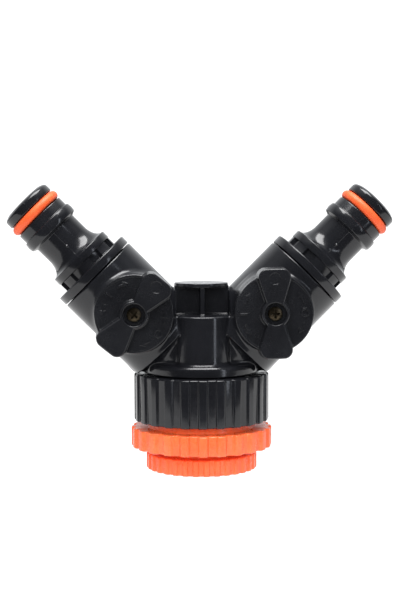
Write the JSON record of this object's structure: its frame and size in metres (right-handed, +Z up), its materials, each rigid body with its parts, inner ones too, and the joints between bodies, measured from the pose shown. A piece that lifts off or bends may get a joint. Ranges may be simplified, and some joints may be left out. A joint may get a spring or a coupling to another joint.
{
  "type": "hose splitter",
  "caption": "Y-shaped hose splitter: swivel tap nut with nested orange thread reducers below, two arms with lever ball valves and ringed quick-connect nipples above.",
  "frame": {"origin": "on the swivel nut's axis, at the small reducer's bottom face", "axes": "+Z up along the swivel nut's axis, +X out over the right-hand outlet, -Y towards the valve knobs"},
  "size_m": [0.1166, 0.0424, 0.086],
  "materials": {
    "black_plastic": "satin black moulded plastic",
    "orange_plastic": "orange-red moulded plastic",
    "ring_rubber": "orange rubber",
    "washer_rubber": "black rubber",
    "seat_plastic": "off-white seal plastic",
    "ball_plastic": "polished grey plastic",
    "screw_metal": "plated steel"
  },
  "bodies": {
    "manifold": {"manifold_body": "black_plastic", "nut_retaining_ring": "black_plastic", "left_outlet_nipple": "black_plastic", "left_nipple_oring": "ring_rubber", "left_inlet_seat": "seat_plastic", "left_outlet_seat": "seat_plastic", "right_outlet_nipple": "black_plastic", "right_nipple_oring": "ring_rubber", "right_inlet_seat": "seat_plastic", "right_outlet_seat": "seat_plastic"},
    "left_valve": {"left_ball": "ball_plastic", "left_stem": "black_plastic", "left_stem_oring": "washer_rubber", "left_knob": "black_plastic", "left_knob_screw": "screw_metal"},
    "right_valve": {"right_ball": "ball_plastic", "right_stem": "black_plastic", "right_stem_oring": "washer_rubber", "right_knob": "black_plastic", "right_knob_screw": "screw_metal"},
    "nut": {"swivel_nut": "black_plastic"},
    "nut_seal": {"nut_washer": "washer_rubber"},
    "large_reducer": {"large_adapter": "orange_plastic"},
    "reducer_seal": {"large_adapter_washer": "washer_rubber"},
    "small_reducer": {"small_adapter": "orange_plastic", "small_adapter_washer": "washer_rubber"}
  },
  "joints": [
    {"name": "left_valve_turn", "type": "hinge", "parent": "manifold", "child": "left_valve", "pos_m": [-0.02036, 0, 0.04806], "axis": [0, -1, 0], "range_deg": [-6, 84]},
    {"name": "right_valve_turn", "type": "hinge", "parent": "manifold", "child": "right_valve", "pos_m": [0.02036, 0, 0.04806], "axis": [0, -1, 0], "range_deg": [-46.5, 43.5]},
    {"name": "nut_spin", "type": "hinge", "parent": "manifold", "child": "nut", "pos_m": [0, 0, 0.0218], "axis": [0, 0, 1], "continuous": true},
    {"name": "large_reducer_travel", "type": "slide", "parent": "nut", "child": "nut_seal", "axis": [0, 0, -1], "range_m": [0, 0.00693]},
    {"name": "large_reducer_turn", "type": "hinge", "parent": "nut_seal", "child": "large_reducer", "pos_m": [0, 0, 0.014], "axis": [0, 0, -1], "range_deg": [0, 1080]},
    {"name": "small_reducer_travel", "type": "slide", "parent": "large_reducer", "child": "reducer_seal", "axis": [0, 0, -1], "range_m": [0, 0.00817]},
    {"name": "small_reducer_turn", "type": "hinge", "parent": "reducer_seal", "child": "small_reducer", "pos_m": [0, 0, 0.0075], "axis": [0, 0, -1], "range_deg": [0, 1620]}
  ],
  "couplings": [
    {"joint": "large_reducer_travel", "follows": "large_reducer_turn", "m_per_rad": 0.00036749},
    {"joint": "small_reducer_travel", "follows": "small_reducer_turn", "m_per_rad": 0.00028871}
  ]
}
